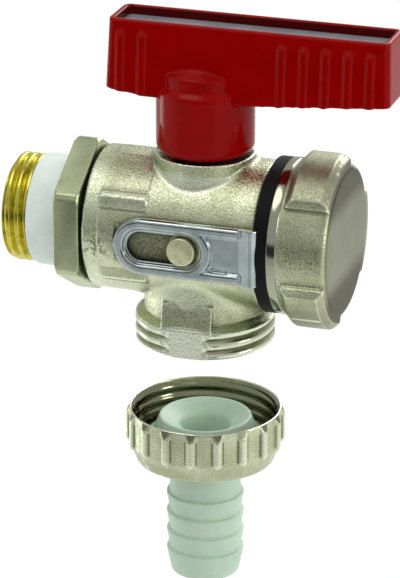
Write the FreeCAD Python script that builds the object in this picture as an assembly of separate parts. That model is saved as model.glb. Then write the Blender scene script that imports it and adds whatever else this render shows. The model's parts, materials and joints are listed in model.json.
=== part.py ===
import FreeCAD
import Part
import math
import os

# Ball-type drain cock with a T-lever, a tethered cap and a loose hose union.
# Millimetres. Lengths along the flow axis X and the stem axis Z are measured from the ball's centre,
# and each piece is moved by ball_x when it is saved, so that the origin lies on the inlet's end face.
V = FreeCAD.Vector
X_AXIS = V(1, 0, 0)
Y_AXIS = V(0, 1, 0)
Z_AXIS = V(0, 0, 1)
CENTRE = V(0, 0, 0)
near = 0.01                # how close two lengths count as the same
reach = 1.0                # how far a cutting form runs past what it cuts

# Flow axis: inlet connector
ball_x = 37.9              # inlet end face to ball centre
inlet_thread_r = 10.4775   # half-inch pipe thread
inlet_pitch = 1.814
inlet_thread_depth = 1.162
crest_share = 0.3          # flat crest, as a share of the pitch
flank_share = 0.29
inlet_thread_len = 4.96
inlet_bore_r = 6.5
hex_gap = 21.0             # hexagon's inner face to ball centre
hex_len = 5.0
hex_across_flats = 27.0
hex_corner_r = 15.3
seal_groove_r = 9.0
sealing_ring_r = 10.85
spigot_r = 11.25
spigot_clearance = 0.05
seat_back = 0.3            # seat's back to the spigot's shoulder
ring_play = 0.05
ring_edge_len = 0.8
ring_edge_drop = 0.3

# Valve body
body_left = 20.5
body_right = 13.92
collar_r = 13.85           # turned end beside the hexagon
collar_len = 3.5
body_seal_setback = 1.2
body_r = 14.1
edge_chamfer = 0.5
chamber_r = 10.1
port_r = 6.2
flat_right = 7.8
flat_depth = 13.35         # sloping wrench flats on the barrel, from the flow axis
ridge_foot_y = 12.62       # ridge under each upper flat
ridge_foot_z = 6.3
ridge_edge_y = 12.0
ridge_edge_z = 8.9
low_foot_y = 12.95         # ridge over each lower flat
low_foot_z = 5.55
low_edge_y = 12.4
low_edge_z = 7.9
ridge_inner = 6.0
strap_flat_y = 13.5        # flats under the strap, in front and behind
boss_r = 9.6
boss_top = 15.3
boss_fillet = 0.9
outlet_neck_r = 11.7
outlet_fillet = 3.0
outlet_thread_r = 13.49    # three-quarter-inch hose thread
outlet_pitch = 2.209
outlet_thread_depth = 0.65
outlet_shoulder = 15.9
outlet_thread_top = 17.2
outlet_end = 22.6
outlet_end_r = 12.2
outlet_flat_y = 12.45
pad_half_width = 5.0       # forged pads that run from the neck into the outlet's flats
pad_top = 12.0
pad_top_y = 11.5
outlet_seat_r = 10.6
outlet_seat_slope = 0.4
cap_neck_len = 10.0
cap_neck_root = 1.0
cap_neck_relief_r = 12.0
cap_neck_relief_len = 2.6

# Ball, seats and stem
ball_r = 9.2
ball_bore_r = 5.0
ball_clearance = 0.03
seat_len = 2.2
seat_bore_r = 5.3
seat_inner = 6.0
slide_clearance = 0.1
tang_half_len = 4.4
tang_half_width = 2.0
tang_clearance = 0.06
tang_bottom = 6.6
stem_collar_r = 5.6
stem_collar_bottom = 9.9
stem_collar_len = 1.2
washer_len = 0.6
stem_r = 4.0
stem_running = 0.04
stem_top = 30.0
stem_flat_y = 3.0
stem_flat_bottom = 18.6
o_ring_r = 0.55
o_ring_squeeze = 0.05
o_ring_heights = (12.7, 14.2)
stop_lug_inner = 5.6
stop_lug_outer = 8.0
stop_lug_height = 2.2
stop_lug_root = 0.5
stop_slot_play = 0.3
stop_lug_angle = 24.0
stop_lug_place = 150.0
stop_play = 1.0
turn_angle = 90.0

# Handle
handle_left = 17.6
handle_right = 36.9
handle_top = 41.2
handle_half_width = 5.2
handle_draft = math.radians(4.5)
handle_end_draft = math.radians(2.0)
handle_corner_r = 1.5
under_left = 27.7
under_mid = 26.8
under_right = 29.0
rim_wall = 1.1
trough_corner_r = 0.9
plate_recess = 1.75
plate_len = 1.6
plate_play = 0.05
plate_corner_r = 0.8
rib_r = 1.15
rib_sink = 0.62
rib_top_drop = 3.1
rib_pitch = 4.25
rib_first_right = 33.5
rib_count_right = 5
rib_first_left = 15.0
rib_count_left = 2
hub_r = 9.4
hub_gap = 0.2
hub_top = 28.7
hub_edge_r = 1.8
hub_cone_edge = 0.7
post_r = 8.4
post_top = 31.4
post_shoulder_r = 5.5
post_shoulder_rise = 1.5
drive_clearance = 0.05
drive_seat_gap = 0.3
screw_r = 2.0
screw_head_r = 3.4
screw_head_len = 2.2
screw_len = 9.0
screw_seat = 33.0
screw_end_gap = 1.0
screw_slot_width = 0.9
screw_slot_depth = 0.9

# Strap, pin and cap
strap_left = 13.6
strap_half_width = 5.6
strap_len = 0.65
strap_gap = 0.1
strap_stand_off = 0.4      # strap's arm to the body's flat
slot_left = 10.9
slot_right = 3.3
slot_half_width = 2.9
bead_ledge = 0.6           # slot's edge to the bead
bead_width = 2.0
bead_height = 0.75
bead_edge_r = 0.6
fold_start = 11.2          # where the arm rises towards its fold
fold_place = 13.3
fold_rise = 0.85
mark_left = 5.6            # pressed mark beside the slot
mark_right = 8.9
mark_half_width = 0.45
mark_depth = 0.3
mark_z = -3.2
pin_r = 2.75
pin_face_y = 15.6
pin_root_y = 11.2
pin_edge = 0.25
pin_centre_r = 0.35
cap_rim_left = 16.46
cap_rim_len = 1.94
cap_rim_r = 15.05
cap_rim_edge = 0.3
cap_r = 14.9
cap_face = 28.0
cap_face_edge_r = 1.5
cap_thread_clearance = 0.16
cap_sleeve_r = 14.05
cap_wall = 2.0
land_r = 16.9
land_angle = 63.0
land_place = 11.0
land_count = 3
land_bevel = 1.2
land_end = 27.8
land_setback = 0.9
ring_eye_play = 0.1
ring_eye_width = 0.5
grommet_r = 14.95
gasket_len = 1.5

# Hose union, drawn off below the outlet
nut_top = 37.1
nut_bottom = 47.7
nut_r = 14.8
nut_bore_clearance = 0.16
nut_mouth_chamfer = 0.75
nut_rim_drop = 1.6         # height of the turned cone that trims the ribs
nut_taper_top = 44.2
nut_bottom_r = 13.4
nut_floor = 43.9
nut_hole_r = 8.0
nut_tail_play = 0.08
nut_rib_count = 18
nut_rib_r = 1.25
nut_rib_rise = 0.72
nut_rib_end = 43.5
nut_rib_phase = -3.0
tail_lip = 39.0
tail_lip_r = 8.45
tail_mouth_len = 2.0
tail_bore_r = 4.8
tail_flange_r = 11.4
tail_flange_len = 1.0
tail_flange_gap = 0.02
tail_neck_taper = 0.6
tail_end_edge = 0.3
tail_shank_r = 6.95
tail_end = 71.8
barb_r = 7.55
barb_land = 0.35
barb_first = 55.0
barb_pitch = 3.94
barb_count = 4
barb_root_r = 6.9
tail_lip_width = 0.45


def polygon_face(points):
    """A flat face round the given corner points."""
    return Part.Face(Part.makePolygon(list(points) + [points[0]]))


def turned_about_x(profile):
    """A solid turned about the flow axis from (x, radius) points."""
    return polygon_face([V(x, 0, r) for x, r in profile]).revolve(CENTRE, X_AXIS, 360)


def turned_about_z(profile):
    """A solid turned about the stem axis from (radius, z) points."""
    return polygon_face([V(r, 0, z) for r, z in profile]).revolve(CENTRE, Z_AXIS, 360)


def bar_x(radius, start, stop):
    return Part.makeCylinder(radius, stop - start, V(start, 0, 0), X_AXIS)


def bar_z(radius, start, stop):
    return Part.makeCylinder(radius, stop - start, V(0, 0, start), Z_AXIS)


def tube_x(outer, inner, start, stop):
    return bar_x(outer, start, stop).cut(bar_x(inner, start, stop))


def tube_z(outer, inner, start, stop):
    return bar_z(outer, start, stop).cut(bar_z(inner, start, stop))


def block(x0, x1, y0, y1, z0, z1):
    return Part.makeBox(x1 - x0, y1 - y0, z1 - z0, V(x0, y0, z0))


def crest_profile(start, stop, crest_r, pitch, depth):
    """Points (place, radius) along a screw thread's outline, drawn as rings with flat crests and roots."""
    root_r = crest_r - depth
    crest = crest_share * pitch
    flank = flank_share * pitch
    points = []
    place = start
    while place < stop:
        ring = [(place, crest_r), (place + crest, crest_r), (place + crest + flank, root_r),
                (place + pitch - flank, root_r)]
        points += [corner for corner in ring if corner[0] < stop]
        place = place + pitch
    return points + [(stop, points[-1][1])]


def save(name, shape):
    """Moves a piece so that the origin is on the inlet's end face, and writes it."""
    shape = shape.removeSplitter()
    shape.translate(V(ball_x, 0, 0))
    shape.exportStep(os.path.join("parts", name + ".step"))
    print(f"{name:18s} solids {len(shape.Solids)} volume {shape.Volume:9.1f} valid {shape.isValid()}")


def crossing_edges(shape):
    """The curved edges along which two round forms run into each other."""
    return [e for e in shape.Edges if e.Curve.TypeId == "Part::GeomBSplineCurve"]


def spigot_face():
    """Where the inlet connector's spigot stops against the body's inner shoulder."""
    return -(seat_inner + seat_len + seat_back)


def inlet_connector():
    """Hexagon collar with the threaded nipple on one side and the spigot that screws into the body."""
    nipple = [(-ball_x, 0)]
    nipple += crest_profile(-ball_x, -ball_x + inlet_thread_len, inlet_thread_r, inlet_pitch,
                            inlet_thread_depth)
    nipple += [(-ball_x + inlet_thread_len, seal_groove_r), (-hex_gap - hex_len, seal_groove_r)]
    nipple.append((-hex_gap - hex_len, 0))
    corner = hex_across_flats / math.sqrt(3)
    corners = [V(-hex_gap - hex_len, corner * math.sin(a), corner * math.cos(a))
               for a in (math.radians(60 * k) for k in range(6))]
    collar = polygon_face(corners).extrude(V(hex_len, 0, 0))
    collar = collar.common(turned_about_x([
        (-hex_gap - hex_len, 0), (-hex_gap - hex_len, hex_corner_r - edge_chamfer),
        (-hex_gap - hex_len + edge_chamfer, hex_corner_r), (-hex_gap - edge_chamfer, hex_corner_r),
        (-hex_gap, hex_corner_r - edge_chamfer), (-hex_gap, 0)]))
    spigot = bar_x(spigot_r, -hex_gap, spigot_face() - spigot_clearance)
    nose = bar_x(chamber_r - slide_clearance, spigot_face() - spigot_clearance, -seat_inner - seat_len)
    whole = turned_about_x(nipple).fuse([collar, spigot, nose])
    return whole.cut(bar_x(inlet_bore_r, -ball_x, 0))


def sealing_ring():
    """Soft ring in the nipple's groove, with rounded shoulders, that seals the thread."""
    left = -ball_x + inlet_thread_len + ring_play
    right = -hex_gap - hex_len
    shoulder = sealing_ring_r - ring_edge_drop
    return turned_about_x([
        (left, seal_groove_r), (left, shoulder), (left + ring_edge_len, sealing_ring_r),
        (right - ring_edge_len, sealing_ring_r), (right, shoulder), (right, seal_groove_r)])


def body_seal():
    """Flat ring between the hexagon and the body's end."""
    return tube_x(collar_r - body_seal_setback, spigot_r + slide_clearance, -hex_gap, -body_left)


def wrench_ridges():
    """The forged ridges that stand up between the barrel's front and its sloping flats."""
    ridges = []
    upper = [(ridge_foot_y, ridge_foot_z), (ridge_edge_y, ridge_edge_z)]
    lower = [(low_foot_y, low_foot_z), (low_edge_y, low_edge_z)]
    for up, face in ((1, upper), (-1, lower)):
        for side in (-1, 1):
            outline = face + [(ridge_inner, 2 * ridge_inner), (ridge_inner, ridge_inner)]
            points = [V(-body_left + collar_len, side * y, up * z) for y, z in outline]
            ridges.append(polygon_face(points).extrude(V(body_left - collar_len - flat_right, 0, 0)))
    return ridges


def wrench_flats():
    """What is taken off the barrel for its four sloping flats."""
    cuts = []
    for turn in (60, 120, 240, 300):
        slab = block(-body_left + collar_len, -flat_right, -2 * body_r, -flat_depth, -body_r, body_r)
        slab.rotate(CENTRE, X_AXIS, turn)
        cuts.append(slab)
    return cuts


def outlet_outline():
    """The outlet neck and its threaded end, turned about the stem axis."""
    points = [(0, 0), (outlet_neck_r, 0), (outlet_neck_r, -outlet_shoulder)]
    thread = crest_profile(outlet_thread_top, outlet_end - edge_chamfer, outlet_thread_r, outlet_pitch,
                           outlet_thread_depth)
    points += [(radius, -place) for place, radius in thread]
    points.append((outlet_end_r, -outlet_end))
    points.append((0, -outlet_end))
    return points


def outlet_pad(side):
    """A forged pad that leads from the neck's front or back into the outlet's flat."""
    outline = [(0, -outlet_end), (outlet_flat_y, -outlet_end), (outlet_flat_y, -outlet_thread_top),
               (pad_top_y, -pad_top), (0, -pad_top)]
    points = [V(-pad_half_width, side * y, z) for y, z in outline]
    return polygon_face(points).extrude(V(2 * pad_half_width, 0, 0))


def cap_neck():
    """The threaded neck that the cap closes."""
    end = body_right + cap_neck_len
    points = [(body_right - cap_neck_root, 0), (body_right - cap_neck_root, cap_neck_relief_r)]
    points.append((body_right + cap_neck_relief_len, cap_neck_relief_r))
    points += crest_profile(body_right + cap_neck_relief_len, end, outlet_thread_r, outlet_pitch,
                            outlet_thread_depth)
    points.append((end, 0))
    return turned_about_x(points)


def stop_sector(inner, outer, bottom, top, first, last):
    """A block of a ring between two angles in degrees."""
    ring = Part.makeCylinder(outer, top - bottom, V(0, 0, bottom), Z_AXIS, last - first)
    ring.rotate(CENTRE, Z_AXIS, first)
    return ring.cut(bar_z(inner, bottom, top))


def valve_body():
    """Forged body: barrel and chamber along X, stem boss above, outlet below, capped neck at the end."""
    barrel = bar_x(body_r, -body_left + collar_len, body_right)
    barrel = barrel.makeChamfer(edge_chamfer, barrel.Edges[:1])
    boss = bar_z(boss_r, 0, boss_top)
    neck = bar_z(outlet_neck_r, -outlet_thread_top, 0)
    body = barrel.fuse(neck).removeSplitter()
    body = body.makeFillet(outlet_fillet, crossing_edges(body))
    body = body.fuse(boss).removeSplitter()
    body = body.makeFillet(boss_fillet, [e for e in crossing_edges(body) if e.BoundBox.ZMin > 0])
    body = body.fuse(wrench_ridges()).cut(wrench_flats()).fuse([boss, neck])
    collar = bar_x(collar_r, -body_left, 0)
    end_edges = [e for e in collar.Edges if e.BoundBox.XMax < -body_left + near]
    collar = collar.makeChamfer(edge_chamfer, end_edges)
    outlet = turned_about_z(outlet_outline())
    for side in (-1, 1):
        y0, y1 = sorted((side * outlet_flat_y, side * 2 * outlet_thread_r))
        outlet = outlet.cut(block(-outlet_thread_r, outlet_thread_r, y0, y1,
                                  -outlet_end - reach, -outlet_shoulder + reach))
    lug = stop_sector(stop_lug_inner, stop_lug_outer, boss_top - stop_lug_root, boss_top + stop_lug_height,
                      stop_lug_place - stop_lug_angle / 2, stop_lug_place + stop_lug_angle / 2)
    body = body.fuse([collar, outlet, outlet_pad(-1), outlet_pad(1), cap_neck(), lug])
    for side in (-1, 1):
        y0, y1 = sorted((side * strap_flat_y, side * 2 * body_r))
        body = body.cut(block(-strap_left - strap_gap, body_right, y0, y1, -body_r, body_r))
    spigot_hole = bar_x(spigot_r + spigot_clearance, -body_left, spigot_face())
    chamber = bar_x(chamber_r, spigot_face(), seat_inner + seat_len)
    port = bar_x(port_r, 0, body_right + cap_neck_len)
    seat_reach = outlet_seat_r - port_r
    outlet_port = turned_about_z([
        (0, 0), (port_r, 0), (port_r, -outlet_end + seat_reach / outlet_seat_slope),
        (outlet_seat_r, -outlet_end), (0, -outlet_end)])
    collar_top = stem_collar_bottom + stem_collar_len + washer_len + slide_clearance
    stem_pocket = bar_z(stem_collar_r + slide_clearance, 0, collar_top)
    stem_hole = bar_z(stem_r + stem_running, 0, boss_top)
    pin_hole = Part.makeCylinder(pin_r, body_r, V(0, -pin_root_y, 0), V(0, -1, 0))
    return body.cut([spigot_hole, chamber, port, outlet_port, stem_pocket, stem_hole, pin_hole])


def ball():
    """Ball with a through bore, an outlet bore and a slot for the stem's tang."""
    solid = Part.makeSphere(ball_r)
    bore = bar_x(ball_bore_r, -ball_r, ball_r)
    down = bar_z(ball_bore_r, -ball_r, 0)
    slot = block(-ball_r, ball_r, -tang_half_width - tang_clearance, tang_half_width + tang_clearance,
                 tang_bottom - slide_clearance, ball_r)
    return solid.cut([bore, down, slot])


def ball_seat(side):
    """Soft ring that bears on the ball, hollowed to the ball's own round."""
    start, stop = sorted((side * seat_inner, side * (seat_inner + seat_len)))
    ring = tube_x(chamber_r - slide_clearance, seat_bore_r, start, stop)
    return ring.cut(Part.makeSphere(ball_r + ball_clearance))


def stem():
    """Turned stem with its tang, its collar, two ring grooves and a flatted head for the handle."""
    tang = block(-tang_half_len, tang_half_len, -tang_half_width, tang_half_width,
                 tang_bottom, stem_collar_bottom)
    collar = bar_z(stem_collar_r, stem_collar_bottom, stem_collar_bottom + stem_collar_len)
    shaft = bar_z(stem_r, stem_collar_bottom, stem_top)
    whole = tang.fuse([collar, shaft])
    for height in o_ring_heights:
        whole = whole.cut(tube_z(2 * stem_r, stem_r - 2 * o_ring_r, height - o_ring_r, height + o_ring_r))
    for side in (-1, 1):
        y0, y1 = sorted((side * stem_flat_y, side * 2 * stem_r))
        whole = whole.cut(block(-stem_r, stem_r, y0, y1, stem_flat_bottom, stem_top))
    return whole.cut(bar_z(screw_r, stem_top - screw_len, stem_top))


def stem_washer():
    """Slippery washer between the stem's collar and the body."""
    bottom = stem_collar_bottom + stem_collar_len
    return tube_z(stem_collar_r, stem_r + stem_running, bottom, bottom + washer_len)


def stem_o_rings():
    """The two rubber rings in the stem's grooves."""
    rings = []
    for height in o_ring_heights:
        radius = o_ring_r - o_ring_squeeze
        rings.append(Part.makeTorus(stem_r - o_ring_r, radius, V(0, 0, height), Z_AXIS))
    return Part.makeCompound(rings)


def rounded_outline(x0, x1, half_width, radius, z):
    """A closed wire: a rectangle with rounded corners at height z."""
    inner = [(x1 - radius, half_width - radius, 0), (x0 + radius, half_width - radius, 90),
             (x0 + radius, -half_width + radius, 180), (x1 - radius, -half_width + radius, 270)]
    edges = []
    last = None
    first = None
    for x, y, angle in inner:
        arc_points = []
        for turn in (angle, angle + 45, angle + 90):
            a = math.radians(turn)
            arc_points.append(V(x + radius * math.cos(a), y + radius * math.sin(a), z))
        if last is not None:
            edges.append(Part.makeLine(last, arc_points[0]))
        else:
            first = arc_points[0]
        edges.append(Part.Arc(*arc_points).toShape())
        last = arc_points[2]
    edges.append(Part.makeLine(last, first))
    return Part.Wire(edges)


def drafted_bar(top, bottom):
    """The grip's outer form between two heights, thicker towards the bottom."""
    sections = []
    for z in (bottom, top):
        drop = handle_top - z
        spread = drop * math.tan(handle_draft)
        stretch = drop * math.tan(handle_end_draft)
        sections.append(rounded_outline(-handle_left - stretch, handle_right + stretch,
                                        handle_half_width + spread, handle_corner_r, z))
    return Part.makeLoft(sections, True, True)


def rib_places():
    right = [rib_first_right - k * rib_pitch for k in range(rib_count_right)]
    left = [-rib_first_left + k * rib_pitch for k in range(rib_count_left)]
    return right + left


def grip_ribs():
    """Half-round finger ribs with domed tops that follow the drafted sides."""
    ribs = []
    top = handle_top - rib_top_drop
    length = (top - under_mid + reach) / math.cos(handle_draft)
    for x in rib_places():
        for side in (-1, 1):
            out = handle_half_width + rib_top_drop * math.tan(handle_draft) - rib_sink
            start = V(x, side * out, top)
            way = V(0, side * math.sin(handle_draft), -math.cos(handle_draft))
            ribs.append(Part.makeCylinder(rib_r, length, start, way).fuse(Part.makeSphere(rib_r, start)))
    return ribs


def handle():
    """Moulded T-lever: ribbed grip with a sunk top, a stepped hub and the drive for the stem's head."""
    floor = under_mid - reach
    grip = drafted_bar(handle_top, floor)
    grip = grip.fuse(grip_ribs())
    far = 2 * handle_right
    under = [V(-far, -far, floor - reach), V(-far, -far, under_left), V(-handle_left, -far, under_left),
             V(-hub_r, -far, under_mid), V(hub_r, -far, under_mid),
             V(handle_right, -far, under_right), V(far, -far, under_right), V(far, -far, floor - reach)]
    grip = grip.cut(polygon_face(under).extrude(V(0, 2 * far, 0)))
    hub_bottom = boss_top + hub_gap
    hub = bar_z(hub_r, hub_bottom, hub_top)
    hub = hub.makeFillet(hub_edge_r, [e for e in hub.Edges if e.BoundBox.ZMax < hub_bottom + near])
    hub = hub.makeChamfer(hub_cone_edge, [e for e in hub.Edges if e.BoundBox.ZMin > hub_top - near])
    shoulder_top = post_top + post_shoulder_rise
    post = turned_about_z([(0, hub_top), (post_r, hub_top), (post_r, post_top),
                           (post_shoulder_r, shoulder_top), (0, shoulder_top)])
    whole = grip.fuse([hub, post])
    trough_floor = handle_top - plate_recess - plate_len
    trough = Part.Face(rounded_outline(-handle_left + rim_wall, handle_right - rim_wall,
                                       handle_half_width - rim_wall, trough_corner_r, trough_floor))
    whole = whole.cut(trough.extrude(V(0, 0, plate_recess + plate_len + reach)))
    drive = bar_z(stem_r + drive_clearance, hub_bottom, stem_top + drive_clearance)
    for side in (-1, 1):
        y0, y1 = sorted((side * (stem_flat_y + drive_clearance), side * 2 * stem_r))
        flat_bottom = stem_flat_bottom + drive_seat_gap
        drive = drive.cut(block(-2 * stem_r, 2 * stem_r, y0, y1, flat_bottom, stem_top + reach))
    screw_hole = bar_z(screw_r + slide_clearance, hub_bottom, trough_floor)
    head_hole = bar_z(screw_head_r + slide_clearance, screw_seat, trough_floor)
    first = stop_lug_place - stop_lug_angle / 2 - turn_angle - stop_play
    last = stop_lug_place + stop_lug_angle / 2 + stop_play
    stop_slot = stop_sector(stop_lug_inner - stop_slot_play, stop_lug_outer + stop_slot_play, hub_bottom,
                            boss_top + stop_lug_height + stop_slot_play, first, last)
    return whole.cut([drive, screw_hole, head_hole, stop_slot])


def handle_plate():
    """Plain cover strip that lies in the handle's sunk top."""
    bottom = handle_top - plate_recess - plate_len
    inset = rim_wall + plate_play
    face = Part.Face(rounded_outline(-handle_left + inset, handle_right - inset,
                                     handle_half_width - inset, plate_corner_r, bottom))
    return face.extrude(V(0, 0, plate_len))


def handle_screw():
    """Slotted screw that draws the handle down on the stem."""
    shank = bar_z(screw_r, stem_top - screw_len + screw_end_gap, screw_seat)
    head = bar_z(screw_head_r, screw_seat, screw_seat + screw_head_len)
    slot = block(-screw_head_r, screw_head_r, -screw_slot_width / 2, screw_slot_width / 2,
                 screw_seat + screw_head_len - screw_slot_depth, screw_seat + screw_head_len)
    return shank.fuse(head).cut(slot)


def stadium(x0, x1, half_width, y, depth):
    """A slab with round ends, standing across Y from y towards the front."""
    left = V(x0 + half_width, y, 0)
    right = V(x1 - half_width, y, 0)
    ends = [Part.makeCylinder(half_width, depth, p, V(0, -1, 0)) for p in (left, right)]
    middle = block(left.x, right.x, y - depth, y, -half_width, half_width)
    return middle.fuse(ends)


def strap_bead(right):
    """Raised bead round the slot, closed by a half circle at the given place."""
    back = -(strap_flat_y + strap_stand_off)
    inset = slot_half_width + bead_ledge
    depth = strap_len + bead_height
    outside = stadium(-slot_left - bead_ledge - bead_width, right + bead_ledge + bead_width,
                      inset + bead_width, back, depth)
    inside = stadium(-slot_left - bead_ledge, right + bead_ledge, inset, back, depth)
    ring = outside.cut(inside).removeSplitter()
    return ring.makeFillet(bead_edge_r, [e for e in ring.Edges if e.BoundBox.YMax < back - depth + near])


def strap_fold():
    """The arm's end: it rises to a fold and turns in to the eye."""
    back = -(strap_flat_y + strap_stand_off)
    front = back - strap_len
    end = eye_place() + strap_len
    outline = [(fold_start, back), (fold_start, front), (fold_place, front - fold_rise),
               (fold_place + strap_len, front - fold_rise), (end, front), (end, back)]
    points = [V(x, y, -strap_half_width) for x, y in outline]
    return polygon_face(points).extrude(V(0, 0, 2 * strap_half_width))


def strap():
    """Stamped strap: slotted arm with a bead round the slot and along its edges, folded in to an eye."""
    back = -(strap_flat_y + strap_stand_off)
    end = eye_place() + strap_len
    round_x = -strap_left + strap_half_width
    arm = block(round_x, end, back - strap_len, back, -strap_half_width, strap_half_width)
    round_end = Part.makeCylinder(strap_half_width, strap_len, V(round_x, back, 0), -Y_AXIS)
    edge_bead = strap_bead(2 * end).common(block(-2 * end, fold_start, 2 * back, 0, -2 * end, 2 * end))
    slot = stadium(-slot_left, slot_right, slot_half_width, back + reach, strap_len + 2 * reach)
    mark = stadium(mark_left, mark_right, mark_half_width, back - strap_len + mark_depth, mark_depth + reach)
    mark.translate(V(0, 0, mark_z))
    inner = cap_sleeve_r + ring_eye_play
    eye = tube_x(inner + ring_eye_width, inner, eye_place(), end)
    tab = block(eye_place(), end, back, -inner / 2, -strap_half_width, strap_half_width)
    whole = arm.fuse([round_end, strap_bead(slot_right), edge_bead, strap_fold(), eye, tab])
    return whole.cut([slot, mark, bar_x(inner, eye_place(), end + reach)])


def eye_place():
    """Where the strap's eye starts, just clear of the body's end."""
    return body_right + strap_gap


def strap_pin():
    """Turned pin pressed into the body, with a centre mark in its face."""
    pin = Part.makeCylinder(pin_r, pin_face_y - pin_root_y, V(0, -pin_root_y, 0), V(0, -1, 0))
    pin = pin.makeChamfer(pin_edge, [e for e in pin.Edges if e.BoundBox.YMax < -pin_face_y + near])
    mark = Part.makeCone(pin_centre_r, 0, pin_centre_r, V(0, -pin_face_y, 0), Y_AXIS)
    return pin.cut(mark)


def grommet():
    """Rubber ring beside the cap's rim, with a lip over the strap's eye that leaves room for its arm."""
    inner = cap_sleeve_r + ring_eye_play
    eye_end = eye_place() + strap_len
    ring = tube_x(grommet_r, inner, eye_end, cap_rim_left)
    lip = tube_x(grommet_r, inner + ring_eye_width, eye_place(), eye_end)
    room = strap_half_width + strap_gap
    lip = lip.cut(block(eye_place(), eye_end, -2 * grommet_r, 0, -room, room))
    return ring.fuse(lip)


def cap():
    """Hand cap: sleeve for the strap's eye, polished rim, three gripping lands and a plain face."""
    bore_r = outlet_thread_r + cap_thread_clearance
    sleeve = bar_x(cap_sleeve_r, eye_place(), cap_rim_left)
    rim = bar_x(cap_rim_r, cap_rim_left, cap_rim_left + cap_rim_len)
    rim = rim.makeChamfer(cap_rim_edge, rim.Edges)
    drum = bar_x(cap_r, cap_rim_left + cap_rim_len / 2, cap_face)
    drum = drum.makeFillet(cap_face_edge_r, [e for e in drum.Edges if e.BoundBox.XMin > cap_face - near])
    land_start = cap_rim_left + cap_rim_len + land_setback
    lands = []
    for k in range(land_count):
        middle = land_place + k * 360 / land_count
        wedge = Part.makeCylinder(land_r, land_end - land_start, V(land_start, 0, 0), X_AXIS, land_angle)
        wedge = wedge.cut(bar_x(cap_r - land_bevel, land_start, land_end))
        wedge = wedge.makeChamfer(land_bevel, [e for e in wedge.Edges if rim_edge(e, land_r)])
        wedge.rotate(CENTRE, X_AXIS, -90 - middle - land_angle / 2)
        lands.append(wedge)
    whole = rim.fuse([sleeve, drum] + lands)
    return whole.cut(bar_x(bore_r, body_right, cap_face - cap_wall))


def rim_edge(edge, radius):
    """Whether an edge lies wholly at one distance from the flow axis."""
    return all(abs(math.hypot(v.Y, v.Z) - radius) < near for v in edge.Vertexes)


def cap_gasket():
    """Rubber disc ring in the cap that seals on the neck's end."""
    return tube_x(outlet_thread_r, port_r, cap_face - cap_wall - gasket_len, cap_face - cap_wall)


def nut_rib(angle):
    """A half-round grip rib down the nut's side with a rounded lower end."""
    middle = nut_r + nut_rib_rise - nut_rib_r
    rod = bar_z(nut_rib_r, -nut_rib_end, -nut_top).fuse(Part.makeSphere(nut_rib_r, V(0, 0, -nut_rib_end)))
    rod.translate(V(middle, 0, 0))
    rod.rotate(CENTRE, Z_AXIS, nut_rib_phase + angle)
    return rod


def union_nut():
    """Ribbed hand nut with an inner shoulder that draws the tail up."""
    bore_r = outlet_thread_r + nut_bore_clearance
    tip_r = nut_r + nut_rib_rise
    base = turned_about_z([
        (0, -nut_top), (nut_r, -nut_top), (nut_r, -nut_taper_top),
        (nut_bottom_r, -nut_bottom), (0, -nut_bottom)])
    ribbed = base.fuse([nut_rib(360 * k / nut_rib_count) for k in range(nut_rib_count)])
    trim = turned_about_z([
        (0, -nut_top), (nut_r, -nut_top), (tip_r, -nut_top - nut_rim_drop),
        (tip_r, -nut_bottom), (0, -nut_bottom)])
    inside = turned_about_z([
        (0, -nut_top), (bore_r + nut_mouth_chamfer, -nut_top), (bore_r, -nut_top - nut_mouth_chamfer),
        (bore_r, -nut_floor), (nut_hole_r, -nut_floor), (nut_hole_r, -nut_bottom), (0, -nut_bottom)])
    return ribbed.common(trim).cut(inside)


def hose_tail():
    """Moulded hose tail: funnel mouth, cone and flange inside the nut, shank with saw-tooth barbs."""
    lip_out = tail_lip_r + tail_lip_width
    flange_top = nut_floor - tail_flange_len
    cone_len = flange_top - tail_lip
    neck_r = nut_hole_r - nut_tail_play
    points = [(lip_out, -tail_lip), (lip_out + outlet_seat_slope * cone_len, -flange_top),
              (tail_flange_r, -flange_top), (tail_flange_r, -nut_floor + tail_flange_gap),
              (neck_r, -nut_floor + tail_flange_gap), (neck_r, -nut_bottom),
              (tail_shank_r, -nut_bottom - tail_neck_taper), (tail_shank_r, -barb_first)]
    for k in range(barb_count):
        top = barb_first + k * barb_pitch
        bottom = min(top + barb_pitch, tail_end)
        points += [(barb_r, -top), (barb_r, -top - barb_land), (barb_root_r, -bottom)]
    points += [(barb_root_r - tail_end_edge, -tail_end), (tail_bore_r, -tail_end)]
    points += [(tail_bore_r, -tail_lip - tail_mouth_len), (tail_lip_r, -tail_lip)]
    return turned_about_z(points)


os.makedirs("parts", exist_ok=True)
save("valve_body", valve_body())
save("inlet_connector", inlet_connector())
save("sealing_ring", sealing_ring())
save("body_seal", body_seal())
save("ball", ball())
save("inlet_seat", ball_seat(-1))
save("port_seat", ball_seat(1))
save("stem", stem())
save("stem_washer", stem_washer())
save("stem_o_rings", stem_o_rings())
save("handle", handle())
save("handle_plate", handle_plate())
save("handle_screw", handle_screw())
save("strap_pin", strap_pin())
save("strap", strap())
save("grommet", grommet())
save("cap", cap())
save("cap_gasket", cap_gasket())
save("union_nut", union_nut())
save("hose_tail", hose_tail())
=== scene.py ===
# %% [markdown]
# This lesson finishes a drain cock: a forged ball valve with a red T-lever, a cap that hangs on a slotted
# strap, and a hose union drawn off below the outlet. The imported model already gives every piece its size
# and place. What it lacks is surface: soft forged edges, real screw threads, the sheen of a stamped strip
# and the grain of plating. Those are made here, piece by piece, and each piece rides on the body it
# belongs to.

# %% Load the frame
import json
import math

import bmesh
import bpy
from mathutils import Matrix, Vector


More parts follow.
